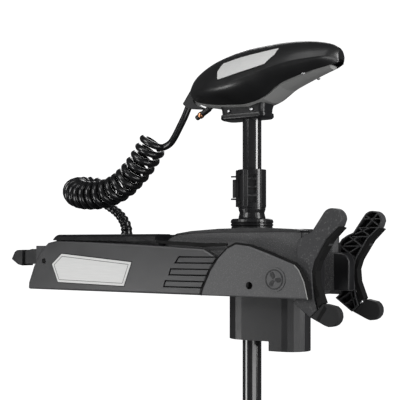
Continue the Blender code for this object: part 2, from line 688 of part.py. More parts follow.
def loft(sections, name, cap=True):
    """A surface through sections of equal length, closed across each section's ends and at both ends."""
    bm = bmesh.new()
    rings = [[bm.verts.new(p) for p in section] for section in sections]
    for a, b in zip(rings, rings[1:]):
        for i in range(len(a)):
            j = (i + 1) % len(a)
            bm.faces.new((a[i], a[j], b[j], b[i]))
    if cap:
        bm.faces.new(rings[0])
        bm.faces.new(list(reversed(rings[-1])))
    return finish_bmesh(bm, name)


def make_head():
    sections = [crest_points(s) for s in HEAD_STATIONS]
    cover = add("head_cover", loft(sections, "head_cover"), GLOSS_BLACK, shaft)
    hollow = [
        [(x, y, z if z > s[4] + 0.01 else z - 9) for x, y, z in crest_points(s, 3.0)]
        for s in HEAD_STATIONS[1:-1]
    ]
    boolean(cover, loft(hollow, "hollow"))

    def underside(station, drop, inset):
        x, _, _, _, rim, rim_half = station
        half = rim_half - inset
        ys = [half * (1 - 2 * i / 8) for i in range(9)]
        low = [(x, y, rim - 1.2 - drop * (1 - (y / half) ** 2)) for y in ys]
        high = [(x, y, rim + 1.6) for y in reversed(ys)]
        return low + high

    base_mesh = loft([underside(s, 3.0, 3.6) for s in HEAD_STATIONS[1:-1]], "head_base")
    head_base = add("head_base", base_mesh, PANEL_GREY, shaft)
    boolean(head_base, cylinder_mesh("shaft_hole", (0, 0, 240), (0, 0, 320), SHAFT_R + 0.4, 28))

    neck = [(-48, -11), (-41, -18), (18, -19), (27, -14), (31, -6), (31, 6), (27, 14), (18, 19), (-41, 18),
            (-48, 11)]
    neck_obj = plate("head_neck", neck, 263, 300, SATIN_BLACK, shaft, "XY", bevel=3.0)
    cutter = [
        [(x, y * 1.3, z - 0.5 if z < station[4] else z + 40) for x, y, z in underside(station, 3.0, 1.0)]
        for station in HEAD_STATIONS[1:-1]
    ]
    boolean(neck_obj, loft(cutter, "head_room"))
    boolean(neck_obj, cylinder_mesh("bore", (0, 0, 240), (0, 0, 320), SHAFT_R + 0.4, 28))

    board = [(-60, -28), (55, -26), (68, -18), (68, 18), (55, 26), (-60, 28)]
    plate("control_board", board, 326, 328, BOARD, shaft, "XY")
    wedge = [(-103.4, 322), (-105, 322), (-124, 296.5), (-116, 289), (-87, 285.5), (-87, 287.4),
             (-97.5, 292.5), (-103.4, 298)]
    plate("strain_relief", wedge, -7.5, 7.5, RAMP_GREY, shaft, bevel=2.0)
    plug_line = ((-77, 0, 282), (-107.5, 0, 265.5))
    plug = add("sensor_plug", cylinder_mesh("sensor_plug", *plug_line, 3.6, 16), SATIN_BLACK, shaft)
    boolean(plug, cylinder_mesh("sensor_nut", (-96, 0, 271.7), (-100.2, 0, 269.4), 4.6, 12), "UNION")
    sections = []
    for x in (-60, -55, -25, 5, 35, 54):
        station = station_at(x)
        angles = [math.radians(30 + 36 * i / 5) for i in range(6)]
        outer = [cover_point(station, a, 1.4) for a in angles]
        sections.append(outer + [cover_point(station, a, 0.45) for a in reversed(angles)])
    add("head_plate", loft(sections, "head_plate"), BRUSHED, shaft)


# ---------------------------------------------------------------- shaft and lower unit

def make_lower_unit():
    ring("shaft_tube", SHAFT_R, SHAFT_BORE_R, SHAFT_BOTTOM, SHAFT_TOP, SATIN_BLACK, shaft)
    inner = CAN_R - CAN_WALL
    can_mesh = cylinder_mesh("motor_can", (-92, 0, LOWER_Z), (86, 0, LOWER_Z), CAN_R, 40)
    can = add("motor_can", can_mesh, SATIN_BLACK, shaft)
    boss = cylinder_mesh("boss", (0, 0, LOWER_Z + 20), (0, 0, LOWER_Z + 80), 21.0, 32, 17.5)
    boolean(can, boss, "UNION")
    boolean(can, cylinder_mesh("bore", (-120, 0, LOWER_Z), (120, 0, LOWER_Z), inner, 40))
    boolean(can, cylinder_mesh("socket", (0, 0, SHAFT_BOTTOM - GAP), (0, 0, LOWER_Z + 90), SHAFT_R + GAP, 28))
    nose = [(0, 130), (10, 129), (22, 124), (33, 114), (41, 101), (CAN_R, 86.3), (inner - 0.3, 86.3),
            (inner - 0.3, 80), (16.3, 80), (16.3, 84), (0, 84)]
    turned("nose_cone", nose, SATIN_BLACK, shaft, closed=False, along="X", at=(0, 0, LOWER_Z), sides=36)
    bell = [(26, -112), (36, -108), (CAN_R, -92.3), (inner - 0.3, -92.3), (inner - 0.3, -86),
            (16.3, -86), (16.3, -90), (6.6, -90), (6.6, -112)]
    turned("end_bell", list(reversed(bell)), SATIN_BLACK, shaft, along="X", at=(0, 0, LOWER_Z), sides=36)
    ring("magnet_ring", inner - GAP, 36.0, -60, 60, RUBBER, shaft, along="X", at=(0, 0, LOWER_Z), sides=32)
    ring("front_bearing", 16.0, 6.5, 74, 83.7, STEEL, shaft, along="X", at=(0, 0, LOWER_Z), sides=20)
    ring("rear_bearing", 16.0, 6.5, -89.7, -80, STEEL, shaft, along="X", at=(0, 0, LOWER_Z), sides=20)
    fin = [(-62, -926.4), (58, -926.4), (36, -944), (8, -985), (-12, -1006), (-34, -1010), (-42, -1000),
           (-52, -955)]
    plate("skeg", fin, -3.5, 3.5, SATIN_BLACK, shaft, bevel=1.5)

    ring("armature", 34.5, 6.3, -50, 50, COPPER, prop, along="X", at=(0, 0, LOWER_Z), sides=28)
    axle = cylinder("prop_shaft", (-178, 0, LOWER_Z), (83, 0, LOWER_Z), 6.0, STEEL, prop, 20, bevel=0.8)
    boolean(axle, cylinder_mesh("pin_hole", (-122, -20, LOWER_Z), (-122, 20, LOWER_Z), 2.7, 12))
    cylinder("drive_pin", (-122, -14, LOWER_Z), (-122, 14, LOWER_Z), 2.4, STEEL, prop, 12)
    make_propeller()
    hexagon = [
        (8.5 * math.cos(math.pi / 3 * i), LOWER_Z + 8.5 * math.sin(math.pi / 3 * i)) for i in range(6)
    ]
    nut = plate("prop_nut", hexagon, -176, -167.3, STEEL, prop, "YZ")
    boolean(nut, cylinder_mesh("bore", (-190, 0, LOWER_Z), (-150, 0, LOWER_Z), 6.3, 20))


def make_propeller():
    """Two swept weedless blades on a hub."""
    hub = [(6.3, -167), (14, -167), (20, -160), (24, -140), (26, -119), (26, -116.5), (6.3, -116.5)]
    obj = turned("propeller", hub, SATIN_BLACK, prop, along="X", at=(0, 0, LOWER_Z), sides=32)
    for side in (0, 1):
        sections = []
        for i in range(9):
            t = i / 8
            radius = 20 + (PROP_R - 20) * t
            chord = 44 * (1 - 0.15 * t) * math.sqrt(max(0.05, 1 - t**3))
            pitch = math.atan2(150.0, 2 * math.pi * radius)
            sweep = math.radians(34 * t**2)
            thick = 4.2 - 2.4 * t
            section = []
            for k in range(12):
                a = 2 * math.pi * k / 12
                along, across = chord / 2 * math.cos(a), thick / 2 * math.sin(a)
                x = -140 + along * math.sin(pitch) + across * math.cos(pitch)
                tangent = along * math.cos(pitch) - across * math.sin(pitch)
                turn = sweep + tangent / radius + side * math.pi
                section.append((x, radius * math.cos(turn), LOWER_Z + radius * math.sin(turn)))
            sections.append(section)
        mesh = loft(sections, "blade")
        blade = bpy.data.objects.new("propeller_blade_tool", mesh)
        mesh.transform(Matrix.Translation((0, 0, -LOWER_Z)))
        mesh.transform(Matrix.Scale(MM, 4))
        cutters.objects.link(blade)
        blade.parent = prop
        blade.hide_render = True
        blade.display_type = "WIRE"
        mod = obj.modifiers.new("blade", "BOOLEAN")
        mod.operation = "UNION"
        mod.object = blade
    slot = box_mesh("slot", (-125.5, -15, LOWER_Z - 3), (-110, 15, LOWER_Z + 3))
    boolean(obj, slot)


# ---------------------------------------------------------------- power cord

COIL_AXIS = [
    (-189, 0, 236), (-203, 0, 217.5), (-218, 0, 200.5), (-235, 0, 185.5), (-258, 0, 170), (-290, 0, 159.5),
    (-319, 1, 157.5), (-345, 4, 159.5), (-365, 12, 165), (-374, 30, 169), (-365, 50, 170), (-348, 57, 167),
]
LEAD_POINTS = [
    (-119.5, 0, 287.5), (-125, 0, 277), (-133, 0, 264), (-143, 0, 248.5), (-151, 0, 238.5), (-160, 1, 233.5),
    (-170, 4, 233),
]
BOOT_POINTS = [
    (-290, 58, 91.9), (-290, 58, 97), (-292.5, 58, 108), (-301, 58, 121), (-314, 58, 132), (-334, 58, 142.5),
]


def make_cord():
    tube("cord_coil", smooth_through(COIL_AXIS, 3), COIL_R, RUBBER, base, 4)
    tube("cord_lead", smooth_through(LEAD_POINTS, 3), CORD_R, RUBBER, shaft)
    tube("cord_boot", smooth_through(BOOT_POINTS, 3), 8.5, RUBBER, base, 3)


make_base()
make_casting()
make_latch()
make_tilt()
make_gears()
make_steer()
make_collar()
make_head()
make_lower_unit()
make_cord()
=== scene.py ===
"""Electric-steer bow-mount trolling motor: the looks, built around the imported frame."""
import json
import math

import bmesh
import bpy
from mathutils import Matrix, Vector


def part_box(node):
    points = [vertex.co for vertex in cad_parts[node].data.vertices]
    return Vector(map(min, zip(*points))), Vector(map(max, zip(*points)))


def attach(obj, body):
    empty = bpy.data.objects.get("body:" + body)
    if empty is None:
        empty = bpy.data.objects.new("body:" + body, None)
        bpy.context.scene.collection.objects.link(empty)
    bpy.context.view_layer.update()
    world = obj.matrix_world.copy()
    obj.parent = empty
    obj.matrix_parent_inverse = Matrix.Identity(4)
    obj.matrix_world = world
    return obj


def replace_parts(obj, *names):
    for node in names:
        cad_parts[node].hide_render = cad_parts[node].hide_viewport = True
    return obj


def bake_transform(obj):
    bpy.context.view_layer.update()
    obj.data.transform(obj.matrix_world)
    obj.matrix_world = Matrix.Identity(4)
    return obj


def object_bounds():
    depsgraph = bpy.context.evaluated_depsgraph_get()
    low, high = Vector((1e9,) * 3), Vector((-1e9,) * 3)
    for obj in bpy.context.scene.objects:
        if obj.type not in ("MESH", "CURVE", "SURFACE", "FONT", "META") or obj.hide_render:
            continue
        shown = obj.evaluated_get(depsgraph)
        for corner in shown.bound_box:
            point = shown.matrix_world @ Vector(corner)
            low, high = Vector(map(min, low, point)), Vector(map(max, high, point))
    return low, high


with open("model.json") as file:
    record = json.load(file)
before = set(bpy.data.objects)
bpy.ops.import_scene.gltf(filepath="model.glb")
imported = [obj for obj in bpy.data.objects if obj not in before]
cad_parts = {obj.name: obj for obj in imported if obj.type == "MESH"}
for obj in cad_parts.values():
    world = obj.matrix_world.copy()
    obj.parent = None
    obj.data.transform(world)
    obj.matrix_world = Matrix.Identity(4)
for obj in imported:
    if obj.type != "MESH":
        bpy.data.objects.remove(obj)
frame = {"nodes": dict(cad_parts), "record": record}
NODES = frame["nodes"]


def box_lists():
    return [[float(value) for value in corner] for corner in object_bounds()]


cad_box = box_lists()

MM = 0.001
SHAFT_LOW, SHAFT_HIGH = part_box("shaft_tube")
SHAFT_X = (SHAFT_LOW.x + SHAFT_HIGH.x) / 2
OBJECT_LOW = cad_box[0][2]
SAME_PLACE = 1e-7  # metres within which vertices are one


def at(x, y, z):
    """A place given in millimetres from the shaft's foot, in the frame's metres."""
    return Vector((SHAFT_X + x * MM, y * MM, z * MM))


# ---------------------------------------------------------------- camera, lights and stage

VIEW_TURN = math.radians(34.5)
CAMERA_PLACE = (0.982, -1.204, 0.0765)
FOCAL_LENGTH = 83.7
FRAME_SHIFT = 0.1075
LIGHT_AIM = 0.1  # height, in metres, that every softbox points at


def make_camera():
    camera = bpy.data.cameras.new("camera")
    camera.lens = FOCAL_LENGTH
    camera.sensor_width = 36.0
    camera.shift_y = FRAME_SHIFT
    camera.clip_end = 50.0
    holder = bpy.data.objects.new("camera", camera)
    holder.location = CAMERA_PLACE
    holder.rotation_euler = (math.pi / 2, 0.0, VIEW_TURN)
    bpy.context.scene.collection.objects.link(holder)
    bpy.context.scene.camera = holder


def area_light(name, azimuth, height, distance, size, power):
    """A softbox round the shaft; azimuth is in degrees to the right of the camera's side."""
    data = bpy.data.lights.new(name, "AREA")
    data.shape = "RECTANGLE"
    data.size, data.size_y = size
    data.energy = power
    holder = bpy.data.objects.new(name, data)
    turn = VIEW_TURN - math.pi / 2 + math.radians(azimuth)
    place = Vector((SHAFT_X + distance * math.cos(turn), distance * math.sin(turn), height))
    holder.location = place
    holder.rotation_euler = (Vector((SHAFT_X, 0, LIGHT_AIM)) - place).to_track_quat("-Z", "Y").to_euler()
    bpy.context.scene.collection.objects.link(holder)


def make_lights():
    area_light("key_strip", 55, 0.9, 2.6, (0.5, 2.6), 62)
    area_light("left_softbox", -62, 1.5, 3.0, (1.4, 1.4), 44)
    area_light("top_softbox", -20, 3.2, 1.6, (2.0, 1.4), 18)
    area_light("back_softbox", 170, 1.8, 3.2, (1.6, 1.6), 26)
    area_light("low_fill", 20, -0.7, 2.4, (2.0, 0.8), 22)
    area_light("side_glow", -75, -0.3, 1.3, (0.5, 0.4), 5)
    world = bpy.data.worlds.new("studio")
    world.use_nodes = True
    background = world.node_tree.nodes["Background"]
    background.inputs["Color"].default_value = (0.95, 0.97, 1.0, 1.0)
    background.inputs["Strength"].default_value = 0.07
    bpy.context.scene.world = world
    bpy.context.scene.view_settings.view_transform = "Standard"


def make_stage():
    """A pale floor whose edge sweeps up into the backdrop, all round."""
    floor_z = OBJECT_LOW - 0.002
    flat, sweep, wall = 5.0, 2.5, 6.0
    profile = [(flat, 0.0)]
    sweep_steps = 12
    for i in range(1, sweep_steps + 1):
        a = math.pi / 2 * i / sweep_steps
        profile.append((flat + sweep * math.sin(a), sweep * (1 - math.cos(a))))
    profile.append((flat + sweep, wall))
    bm = bmesh.new()
    sides = 96
    rings = []
    for radius, height in profile:
        ring = []
        for k in range(sides):
            turn = 2 * math.pi * k / sides
            place = (SHAFT_X + radius * math.cos(turn), radius * math.sin(turn), floor_z + height)
            ring.append(bm.verts.new(place))
        rings.append(ring)
    bm.faces.new(rings[0])
    join_rings(bm, rings, capped=False)
    mesh = bpy.data.meshes.new("floor")
    bm.to_mesh(mesh)
    bm.free()
    mesh.shade_smooth()
    stage = bpy.data.objects.new("floor", mesh)
    bpy.context.scene.collection.objects.link(stage)
    stage.visible_diffuse = False
    stage.visible_glossy = False
    mat = bpy.data.materials.new("pale_paper")
    mat.use_nodes = True
    shader = mat.node_tree.nodes["Principled BSDF"]
    shader.inputs["Base Color"].default_value = (0.86, 0.86, 0.86, 1)
    shader.inputs["Roughness"].default_value = 0.9
    shader.inputs["Emission Color"].default_value = (1, 1, 1, 1)
    shader.inputs["Emission Strength"].default_value = 0.96
    mesh.materials.append(mat)


# ---------------------------------------------------------------- material helpers

def new_material(name):
    mat = bpy.data.materials.new(name)
    mat.use_nodes = True
    tree = mat.node_tree
    where = tree.nodes.new("ShaderNodeTexCoord").outputs["Object"]
    return mat, tree, tree.nodes["Principled BSDF"], where


def noise(tree, where, scale, detail=3.0, stretch=None):
    """Noise over the frame's metres. stretch squeezes it along X, Y and Z."""
    if stretch:
        mapping = tree.nodes.new("ShaderNodeMapping")
        mapping.inputs["Scale"].default_value = stretch
        tree.links.new(where, mapping.inputs["Vector"])
        where = mapping.outputs["Vector"]
    node = tree.nodes.new("ShaderNodeTexNoise")
    node.inputs["Scale"].default_value = scale
    node.inputs["Detail"].default_value = detail
    tree.links.new(where, node.inputs["Vector"])
    return node.outputs["Fac"]


def cells(tree, where, scale):
    node = tree.nodes.new("ShaderNodeTexVoronoi")
    node.inputs["Scale"].default_value = scale
    tree.links.new(where, node.inputs["Vector"])
    return node.outputs["Distance"]


def spread(tree, value, low, high, source=(0.3, 0.7)):
    """A value's source range carried onto low to high."""
    node = tree.nodes.new("ShaderNodeMapRange")
    node.inputs["From Min"].default_value, node.inputs["From Max"].default_value = source
    node.inputs["To Min"].default_value, node.inputs["To Max"].default_value = low, high
    tree.links.new(value, node.inputs["Value"])
    return node.outputs["Result"]


def mixed(tree, factor, first, second):
    """A colour between two; each is a colour or another node's output."""
    node = tree.nodes.new("ShaderNodeMix")
    node.data_type = "RGBA"
    tree.links.new(factor, node.inputs["Factor"])
    for key, value in (("A", first), ("B", second)):
        socket = [s for s in node.inputs if s.name == key and s.type == "RGBA"][0]
        if isinstance(value, tuple):
            socket.default_value = (*value, 1.0)
        else:
            tree.links.new(value, socket)
    return [s for s in node.outputs if s.type == "RGBA"][0]


def relief(tree, shader, height, strength, depth, under=None):
    """Bump of a depth in millimetres. under is another relief that it lies on."""
    node = tree.nodes.new("ShaderNodeBump")
    node.inputs["Strength"].default_value = strength
    node.inputs["Distance"].default_value = depth * MM
    tree.links.new(height, node.inputs["Height"])
    if under:
        tree.links.new(under, node.inputs["Normal"])
    tree.links.new(node.outputs["Normal"], shader.inputs["Normal"])
    return node.outputs["Normal"]


def tint(color, factor):
    return tuple(min(1.0, channel * factor) for channel in color)


def moulded(name, color, rough, grain=900.0, depth=0.06, swing=0.18, coat=0.0, ripple=0.0):
    """Moulded plastic or paint: broad tone changes, a fine grain, and a surface that isn't quite flat."""
    mat, tree, shader, where = new_material(name)
    broad = noise(tree, where, 14.0, 4.0)
    shader_color = mixed(tree, broad, tint(color, 1 - swing), tint(color, 1 + swing))
    tree.links.new(shader_color, shader.inputs["Base Color"])
    fine = noise(tree, where, grain, 2.0)
    smear = noise(tree, where, 45.0, 5.0)
    tree.links.new(spread(tree, smear, rough * 0.86, rough * 1.16), shader.inputs["Roughness"])
    grained = relief(tree, shader, fine, 0.6, depth)
    if ripple:
        relief(tree, shader, noise(tree, where, 110.0, 1.0), 0.5, ripple, grained)
    if coat:
        shader.inputs["Coat Weight"].default_value = coat
        shader.inputs["Coat Roughness"].default_value = 0.12
    return mat


def speckled(name, color, fleck, rough, size=1300.0, depth=0.12, share=(0.58, 0.72)):
    """Powder coat or coarse moulding with paler flecks and a pebbled surface."""
    mat, tree, shader, where = new_material(name)
    broad = mixed(tree, noise(tree, where, 18.0, 3.0), tint(color, 0.85), tint(color, 1.15))
    dots = spread(tree, noise(tree, where, size, 1.0), 0.0, 1.0, share)
    tree.links.new(mixed(tree, dots, broad, fleck), shader.inputs["Base Color"])
    tree.links.new(spread(tree, dots, rough, rough * 0.75, (0.0, 1.0)), shader.inputs["Roughness"])
    pebbles = relief(tree, shader, cells(tree, where, size * 0.55), 0.7, depth)
    relief(tree, shader, noise(tree, where, size * 1.6, 2.0), 0.4, depth * 0.4, pebbles)
    return mat


def brushed(name, color, rough, along=(1.0, 60.0, 60.0), metal=1.0):
    """Brushed or machined metal, its lines along the axis that is squeezed least."""
    mat, tree, shader, where = new_material(name)
    lines = noise(tree, where, 40.0, 3.0, along)
    tree.links.new(mixed(tree, lines, tint(color, 0.82), tint(color, 1.12)), shader.inputs["Base Color"])
    tree.links.new(spread(tree, lines, rough * 0.75, rough * 1.3), shader.inputs["Roughness"])
    shader.inputs["Metallic"].default_value = metal
    relief(tree, shader, lines, 0.35, 0.03)
    return mat


def rubber(name, color, rough=0.62, bloom=0.25, sheen=0.08):
    """Rubber: matt, finely pitted, with a faint grey bloom and a soft sheen."""
    mat, tree, shader, where = new_material(name)
    cloud = noise(tree, where, 60.0, 5.0)
    tree.links.new(mixed(tree, cloud, color, tint(color, 1 + 2 * bloom)), shader.inputs["Base Color"])
    tree.links.new(spread(tree, cloud, rough * 0.9, rough * 1.15), shader.inputs["Roughness"])
    shader.inputs["Sheen Weight"].default_value = sheen
    shader.inputs["Specular IOR Level"].default_value = 0.22
    relief(tree, shader, noise(tree, where, 1800.0, 2.0), 0.5, 0.05)
    return mat


def make_materials():
    return {
        "channel": moulded("channel_paint", (0.035, 0.035, 0.037), 0.5, 700, 0.08),
        "casting": speckled("speckled_casting", (0.060, 0.060, 0.062), (0.20, 0.20, 0.20), 0.6, 850),
        "side_plates": moulded("side_plate_satin", (0.040, 0.040, 0.0415), 0.36, 1200, 0.05, 0.32),
        "bow_covers": speckled("bow_cover_grey", (0.075, 0.075, 0.077), (0.14, 0.14, 0.14), 0.5, 1100, 0.07),
        "name_plates": brushed("brushed_plate", (0.70, 0.70, 0.69), 0.4, (1.0, 60.0, 60.0), 0.05),
        "top_rails": moulded("rail_gloss", (0.008, 0.008, 0.009), 0.24, 800, 0.02, 0.2, 0.3, 0.05),
        "top_caps": moulded("cap_satin", (0.010, 0.010, 0.011), 0.36, 1000, 0.05),
        "steel_parts": brushed("machined_steel", (0.55, 0.55, 0.56), 0.3, (60.0, 60.0, 1.0)),
        "ramps": speckled("ramp_coarse", (0.036, 0.036, 0.038), (0.075, 0.075, 0.075), 0.66, 420, 0.3),
        "ramp_pads": rubber("pad_rubber", (0.005, 0.005, 0.005), 0.75, 0.1, 0.0),
        "ramp_tips": rubber("tip_rubber", (0.016, 0.016, 0.0165), 0.6, 0.2, 0.04),
        "cradle": rubber("cradle_rubber", (0.012, 0.012, 0.012)),
        "cord": moulded("cord_jacket", (0.009, 0.009, 0.010), 0.25, 500, 0.02, 0.25, 0.2),
        "lever": moulded("lever_satin", (0.015, 0.015, 0.016), 0.4),
        "housing": moulded("housing_satin", (0.014, 0.014, 0.015), 0.42, 700, 0.1),
        "collar": moulded("collar_gloss", (0.010, 0.010, 0.011), 0.28, 900, 0.03),
        "gears": moulded("gear_nylon", (0.72, 0.71, 0.66), 0.45, 900, 0.03, 0.05),
        "shaft": moulded("shaft_composite", (0.016, 0.016, 0.017), 0.17, 300, 0.01, 0.15, 0.5),
        "head_cover": moulded("head_satin", (0.0105, 0.0105, 0.011), 0.36, 1000, 0.04, 0.15, 0.15),
        "head_base": moulded("head_under_grey", (0.30, 0.30, 0.295), 0.45, 900, 0.06, 0.06),
        "head_neck": moulded("neck_satin", (0.011, 0.011, 0.012), 0.32, 900, 0.04),
        "head_plate": brushed("head_plate_silver", (0.80, 0.80, 0.79), 0.4, (1.0, 60.0, 60.0), 0.05),
        "board": moulded("solder_mask", (0.02, 0.12, 0.05), 0.35, 600, 0.05),
        "strain_relief": rubber("strain_rubber", (0.022, 0.022, 0.023), 0.5),
        "sensor_plug": moulded("plug_black", (0.012, 0.012, 0.012), 0.35),
        "lower_unit": moulded("lower_paint", (0.012, 0.012, 0.013), 0.33, 500, 0.05, 0.2, 0.2),
        "magnets": speckled("ferrite", (0.06, 0.06, 0.06), (0.16, 0.16, 0.16), 0.5),
        "armature": brushed("copper_winding", (0.72, 0.34, 0.18), 0.35, (1.0, 40.0, 40.0)),
        "propeller": moulded("propeller_glassfilled", (0.013, 0.013, 0.013), 0.4, 700, 0.07),
    }


def dress(materials):
    """Gives every carried-over CAD node the material of its record slot."""
    for part in frame["record"]["subparts"]:
        node = NODES[part["node"]]
        node.data.materials.clear()
        node.data.materials.append(materials[part["material_slot"]])
        node.data.set_sharp_from_angle(angle=math.radians(35))


# ---------------------------------------------------------------- modelling helpers

def piece(name, mesh, slot, body=None, replaces=(), smooth=35.0):
    """A finished mesh in frame metres, with its slot's material, riding on a body."""
    obj = bpy.data.objects.new(name, mesh)
    mesh.materials.clear()
    mesh.materials.append(MATERIALS[slot])
    bpy.context.scene.collection.objects.link(obj)
    if smooth:
        mesh.shade_smooth()
        mesh.set_sharp_from_angle(angle=math.radians(smooth))
    if body:
        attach(obj, body)
    if replaces:
        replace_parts(obj, *replaces)
    return obj


def join_rings(bm, rings, capped=True):
    """Faces between each ring of vertices and the next, and over the two ends if capped."""
    for a, b in zip(rings, rings[1:]):
        for k in range(len(a)):
            j = (k + 1) % len(a)
            bm.faces.new((a[k], a[j], b[j], b[k]))
    if capped:
        bm.faces.new(rings[0])
        bm.faces.new(list(reversed(rings[-1])))


def to_mesh(bm, name):
    bmesh.ops.recalc_face_normals(bm, faces=bm.faces)
    mesh = bpy.data.meshes.new(name)
    bm.to_mesh(mesh)
    bm.free()
    return mesh


def smooth_through(points, steps):
    """A smooth curve through points: Catmull-Rom, steps points a span."""
    points = [Vector(p) for p in points]
    padded = [2 * points[0] - points[1], *points, 2 * points[-1] - points[-2]]
    out = []
    for a, b, c, d in zip(padded, padded[1:], padded[2:], padded[3:]):
        for i in range(steps):
            t = i / steps
            out.append(
                0.5 * (2 * b + (c - a) * t + (2 * a - 5 * b + 4 * c - d) * t**2
                       + (3 * b - a - 3 * c + d) * t**3)
            )
    out.append(points[-1])
    return out


def moving_frames(points):
    """For each point of a path, two axes across it that turn as little as possible."""
    ahead = [(b - a).normalized() for a, b in zip(points, points[1:])]
    tangents = [ahead[0]] + [(a + b).normalized() for a, b in zip(ahead, ahead[1:])] + [ahead[-1]]
    side = tangents[0].orthogonal().normalized()
    frames = []
    for before, now in zip([tangents[0]] + tangents, tangents):
        side = before.rotation_difference(now) @ side
        side = (side - now * side.dot(now)).normalized()
        frames.append((side, now.cross(side)))
    return frames


def sweep(points, radii, sides=12):
    """A round tube along points, with a radius at each, closed at both ends."""
    bm = bmesh.new()
    rings = []
    for point, (u, v), radius in zip(points, moving_frames(points), radii):
        turns = [2 * math.pi * k / sides for k in range(sides)]
        rings.append([bm.verts.new(point + (u * math.cos(t) + v * math.sin(t)) * radius) for t in turns])
    join_rings(bm, rings)
    return to_mesh(bm, "sweep")


def path_length(points):
    return sum((b - a).length for a, b in zip(points, points[1:]))


# ---------------------------------------------------------------- power cord

CORD_R = 5.6
COIL_MEAN_R = 18.9  # from the coil's middle to the cable's
COIL_AXIS = [
    (-184.2, 0, 242.4), (-203, 0, 217.5), (-218, 0, 200.5), (-235, 0, 185.5), (-258, 0, 170),
    (-290, 0, 159.5), (-319, 1, 157.5), (-345, 4, 159.5), (-365, 12, 165), (-374, 30, 169),
    (-365, 50, 170), (-348, 57, 167),
]
RUN_SPANS = 7  # the near run is this many spans of the axis, and the bend is the rest
LEAD_POINTS = [
    (-117, 0, 292.5), (-125, 0, 277), (-133, 0, 264), (-143, 0, 248.5), (-151, 0, 238.5), (-160, 1, 233.5),
]
BOOT_POINTS = [
    (-290, 58, 91.9), (-290, 58, 97), (-292.5, 58, 108), (-301, 58, 121), (-314, 58, 132), (-334, 58, 142.5),
]
RUN_PITCH = 15.6  # of the near run's open turns
BEND_PITCH = 11.2  # of the turns round the bend
AXIS_STEPS = 30  # axis points a span
POINTS_A_TURN = 20
CUT_SHARES = (0.2, 0.34, 0.52, 1.0)  # of the near run: where one stretch of cord meets the next
BOOT_RIBS = 8
BOOT_FOOT_R, BOOT_TAPER, BOOT_RIB_DEPTH = 9.2, 2.6, 1.3
TIGHTENING = 30  # of axis, before the bend, over which the near run's pitch becomes the bend's
END_MARGIN = 2  # of axis inside each end of its stretch, where the stretch's end places are taken
LEAD_SIDE = Vector((0.8, 0, -0.6))  # the side of the first turn that the lead runs into


def coil_line():
    """The helix on the coil's axis, from the head's end, with each point's distance along the axis."""
    axis = smooth_through(COIL_AXIS, AXIS_STEPS)
    frames = moving_frames(axis)
    spacing = [0.0]
    for a, b in zip(axis, axis[1:]):
        spacing.append(spacing[-1] + (b - a).length)
    run_end = spacing[RUN_SPANS * AXIS_STEPS]
    first_u, first_v = frames[0]
    turn = math.atan2(first_v.dot(LEAD_SIDE), first_u.dot(LEAD_SIDE))
    hand = 1 if (first_v * math.cos(turn) - first_u * math.sin(turn)).y < 0 else -1  # near side first
    along, line = 0.0, []
    i = 0
    while along < spacing[-1]:
        while spacing[i + 1] < along:
            i += 1
        t = (along - spacing[i]) / (spacing[i + 1] - spacing[i])
        centre = axis[i].lerp(axis[i + 1], t)
        u = frames[i][0].lerp(frames[i + 1][0], t).normalized()
        v = frames[i][1].lerp(frames[i + 1][1], t).normalized()
        line.append((along, centre + (u * math.cos(turn) + v * math.sin(turn)) * COIL_MEAN_R))
        tighter = min(1.0, max(0.0, (along - run_end + TIGHTENING) / TIGHTENING))
        pitch = RUN_PITCH + (BEND_PITCH - RUN_PITCH) * tighter
        turn += hand * 2 * math.pi / POINTS_A_TURN
        along += pitch / POINTS_A_TURN
    return axis, spacing, line


def axis_place(axis, spacing, along):
    """The point of the coil's axis at a distance along it."""
    for a, b, low, high in zip(axis, axis[1:], spacing, spacing[1:]):
        if low <= along <= high:
            return a.lerp(b, (along - low) / (high - low))
    return axis[-1]


def cord_stretch(name, points, body, ends=None):
    """One stretch of the cord. With ends, it rides on no body and its place is baked into its vertices."""
    places = [at(*p) for p in points]
    mesh = sweep(places, [CORD_R * MM] * len(places), 14)
    obj = piece(name, mesh, "cord", None if ends else body, smooth=60)
    if ends:
        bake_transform(obj)
    return obj


def make_cord():
    """The curly power cord, head to boot, in stretches cut at the joints; the stretches that cross a joint
    ride on no body.
    """
    axis, spacing, line = coil_line()
    entry = [Vector(p) for p in LEAD_POINTS] + [line[0][1], line[2][1]]
    lead = smooth_through(entry, 6)[:-6]
    run = spacing[RUN_SPANS * AXIS_STEPS]
    joins = [("collar", "shaft"), ("output", "collar"), ("tilt_housing", "output"), ("base", "tilt_housing")]
    cuts = [0.0] + [share * run for share in CUT_SHARES] + [spacing[-1]]
    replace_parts(cord_stretch("cord_lead_cable", lead, "shaft"), "cord_lead")
    for i, (low, high) in enumerate(zip(cuts, cuts[1:])):
        points = [p for s, p in line if low <= s <= high] + [p for s, p in line if s > high][:1]
        name = "cord_coil_%d" % (i + 1)
        if i < len(joins):
            fore, aft = high - END_MARGIN, low + END_MARGIN
            ends = (axis_place(axis, spacing, fore), axis_place(axis, spacing, aft))
            cord_stretch(name, points, joins[i], ends)
        else:
            end, before = Vector(BOOT_POINTS[-1]), Vector(BOOT_POINTS[-2])
            turn_in = [points[-4], points[-1], end + (end - before).normalized() * 12, end]
            points += smooth_through(turn_in, 6)[7:]
            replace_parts(cord_stretch(name, points, "base"), "cord_coil")


def make_boot():
    """The ribbed boot on the far rail, tapering up to the cable."""
    line = smooth_through(BOOT_POINTS, 12)
    total = path_length(line)
    radii, run = [], 0.0
    for before, point in zip([line[0]] + line, line):
        run += (point - before).length
        t = run / total
        rib = 0.5 + 0.5 * math.cos(2 * math.pi * BOOT_RIBS * t)
        radii.append((BOOT_FOOT_R - BOOT_TAPER * t + BOOT_RIB_DEPTH * rib) * MM)
    mesh = sweep([at(*p) for p in line], radii, 20)
    boot = piece("cord_boot_ribbed", mesh, "cord", "base", smooth=60)
    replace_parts(boot, "cord_boot")


# ---------------------------------------------------------------- small parts

